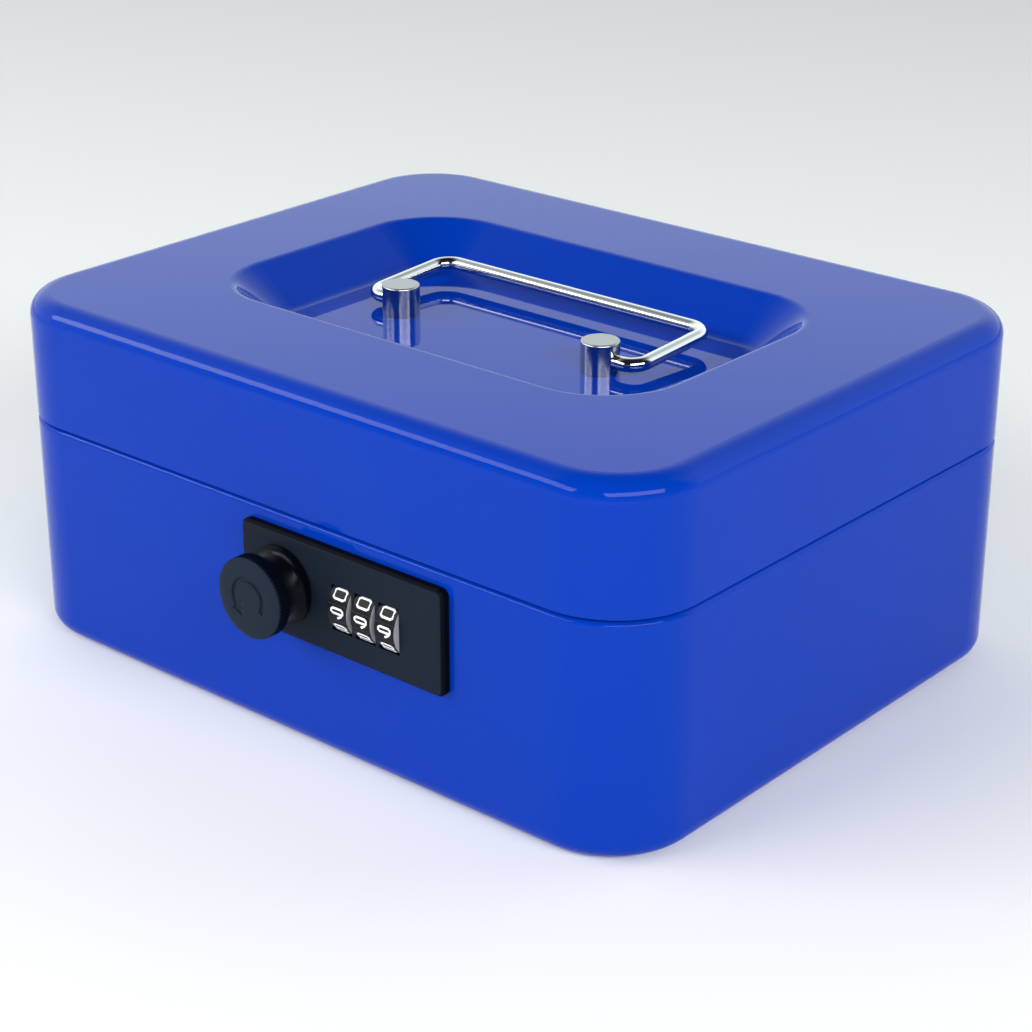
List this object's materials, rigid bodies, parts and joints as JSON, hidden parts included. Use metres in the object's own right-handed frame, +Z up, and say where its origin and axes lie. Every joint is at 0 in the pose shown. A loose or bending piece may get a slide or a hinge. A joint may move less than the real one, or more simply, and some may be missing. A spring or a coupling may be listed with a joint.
{
  "type": "cash box",
  "caption": "Small steel cash box with a hinged lid, a folding handle in a recessed well, a knob latch with number wheels and a lift-out coin tray.",
  "frame": {"origin": "middle of the base's underside, which is the face that the box rests on", "axes": "+X to the right along the front, -Y out of the front where the lock is, +Z up"},
  "size_m": [0.2, 0.1782, 0.0887],
  "materials": {
    "blue_enamel": "smooth gloss enamel",
    "black_plate": "satin black lacquer",
    "black_knob": "satin moulded plastic",
    "black_wheel": "satin moulded plastic with white numbers",
    "bright_chrome": "polished chrome plate",
    "satin_steel": "fine turned steel",
    "zinc_plated_steel": "bright zinc plate",
    "cast_zinc": "as-cast zinc alloy",
    "spring_steel": "blued spring strip",
    "tray_plastic": "fine grained moulded plastic",
    "red_button": "gloss moulded plastic"
  },
  "bodies": {
    "base": {"base_shell": "blue_enamel", "lock_plate": "black_plate", "lock_case": "cast_zinc", "lock_screws": "zinc_plated_steel", "wheel_axle": "zinc_plated_steel", "detent_spring": "spring_steel", "hinge_base_leaf_left": "blue_enamel", "hinge_base_leaf_right": "blue_enamel", "hinge_pin_left": "zinc_plated_steel", "hinge_pin_right": "zinc_plated_steel", "base_hinge_rivets": "zinc_plated_steel"},
    "lid": {"lid_shell": "blue_enamel", "strike": "zinc_plated_steel", "hinge_lid_leaf_left": "blue_enamel", "hinge_lid_leaf_right": "blue_enamel", "lid_hinge_rivets": "zinc_plated_steel", "handle_post_left": "satin_steel", "handle_post_right": "satin_steel", "handle_post_screws": "zinc_plated_steel", "handle_post_washers": "zinc_plated_steel"},
    "handle": {"carry_handle": "bright_chrome"},
    "lock_knob": {"knob": "black_knob", "knob_spindle": "zinc_plated_steel", "fence_cam": "zinc_plated_steel", "latch_arm": "zinc_plated_steel", "spindle_washer": "zinc_plated_steel", "spindle_nut": "zinc_plated_steel"},
    "number_wheel_1": {"digit_wheel_1": "black_wheel", "code_ring_1": "cast_zinc"},
    "number_wheel_2": {"digit_wheel_2": "black_wheel", "code_ring_2": "cast_zinc"},
    "number_wheel_3": {"digit_wheel_3": "black_wheel", "code_ring_3": "cast_zinc"},
    "fence": {"locking_fence": "zinc_plated_steel", "fence_spring": "spring_steel"},
    "reset": {"reset_button": "red_button"},
    "tray": {"coin_tray": "tray_plastic"}
  },
  "joints": [
    {"name": "lid_hinge", "type": "hinge", "parent": "base", "child": "lid", "pos_m": [0, 0.08135, 0.058], "axis": [-1, 0, 0], "range_deg": [0, 100]},
    {"name": "handle_swing", "type": "hinge", "parent": "lid", "child": "handle", "pos_m": [0, -0.005, 0.0822], "axis": [1, 0, 0], "range_deg": [-5.5, 165]},
    {"name": "knob_turn", "type": "hinge", "parent": "base", "child": "lock_knob", "pos_m": [0.0017, -0.085, 0.0414], "axis": [0, -1, 0], "range_deg": [0, 90]},
    {"name": "wheel_1_turn", "type": "hinge", "parent": "base", "child": "number_wheel_1", "pos_m": [0.0203, -0.07555, 0.0402], "axis": [1, 0, 0], "continuous": true},
    {"name": "wheel_2_turn", "type": "hinge", "parent": "base", "child": "number_wheel_2", "pos_m": [0.02753, -0.07555, 0.0402], "axis": [1, 0, 0], "continuous": true},
    {"name": "wheel_3_turn", "type": "hinge", "parent": "base", "child": "number_wheel_3", "pos_m": [0.03476, -0.07555, 0.0402], "axis": [1, 0, 0], "continuous": true},
    {"name": "fence_lift", "type": "slide", "parent": "base", "child": "fence", "axis": [0, 0, 1], "range_m": [0, 0.0015], "deforming": ["fence_spring"]},
    {"name": "reset_press", "type": "slide", "parent": "base", "child": "reset", "axis": [0, -1, 0], "range_m": [0, 0.0018], "stiffness_N_per_m": 300},
    {"name": "tray_lift", "type": "slide", "parent": "base", "child": "tray", "axis": [0, 0, 1], "range_m": [0, 0.006]}
  ],
  "couplings": [
    {"joint": "fence_lift", "follows": "knob_turn", "m_per_rad": 0.00095493}
  ]
}
